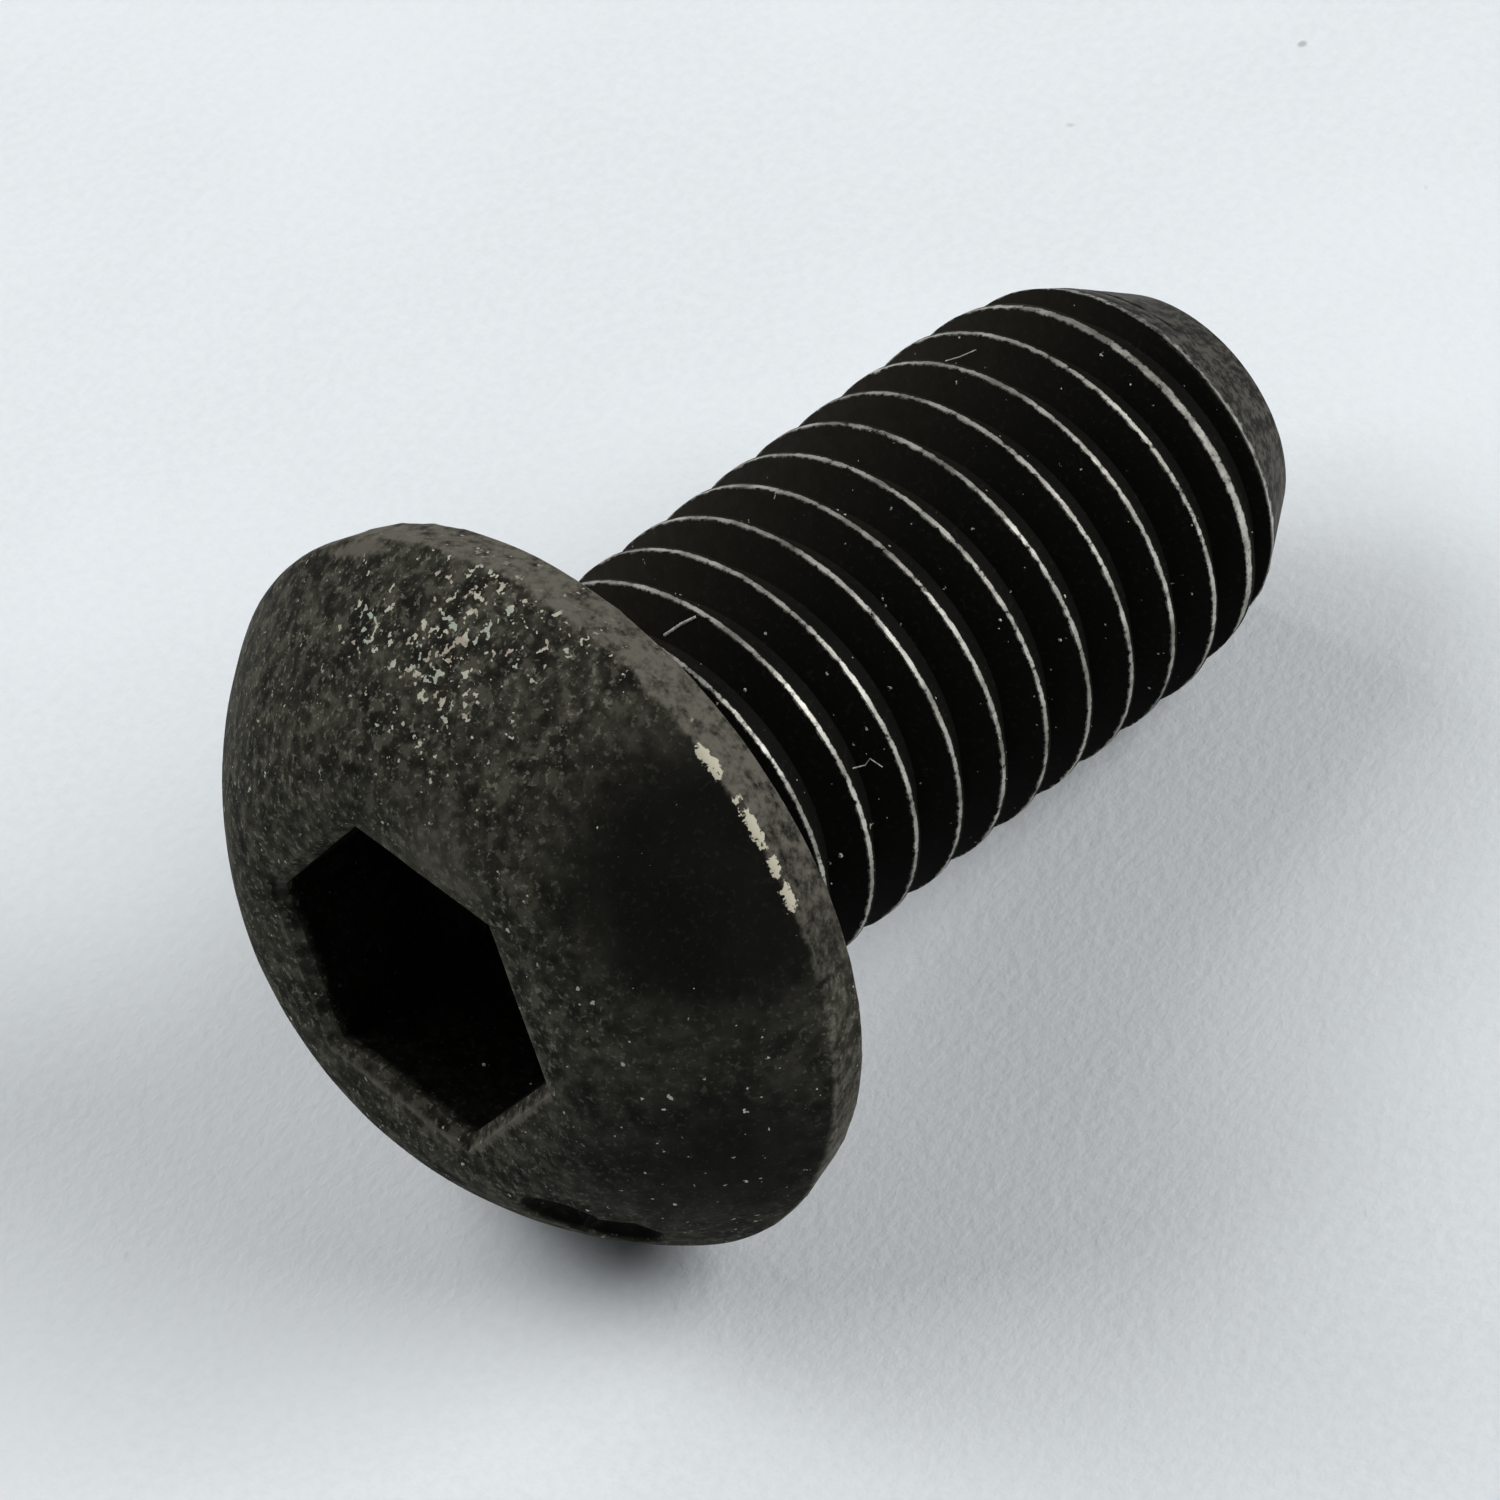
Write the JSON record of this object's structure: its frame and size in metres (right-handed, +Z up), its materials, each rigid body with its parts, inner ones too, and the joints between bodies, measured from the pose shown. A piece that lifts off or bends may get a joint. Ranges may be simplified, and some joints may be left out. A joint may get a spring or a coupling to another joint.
{
  "type": "button head socket bolt",
  "caption": "Black steel bolt with a domed button head, a hexagon socket and a full-length coarse thread with a coned point.",
  "frame": {"origin": "on the ground, under the middle of the lying bolt's bounding box", "axes": "+X along the ground from the head to the point, +Z up; the bolt's own axis dips about 12 degrees towards the point"},
  "size_m": [0.032, 0.021, 0.0205],
  "materials": {
    "black_oxide_steel": "black oxide on alloy steel, satin on the head and nearly black in the thread, with worn light spots"
  },
  "bodies": {
    "root": {"bolt": "black_oxide_steel"}
  },
  "joints": []
}
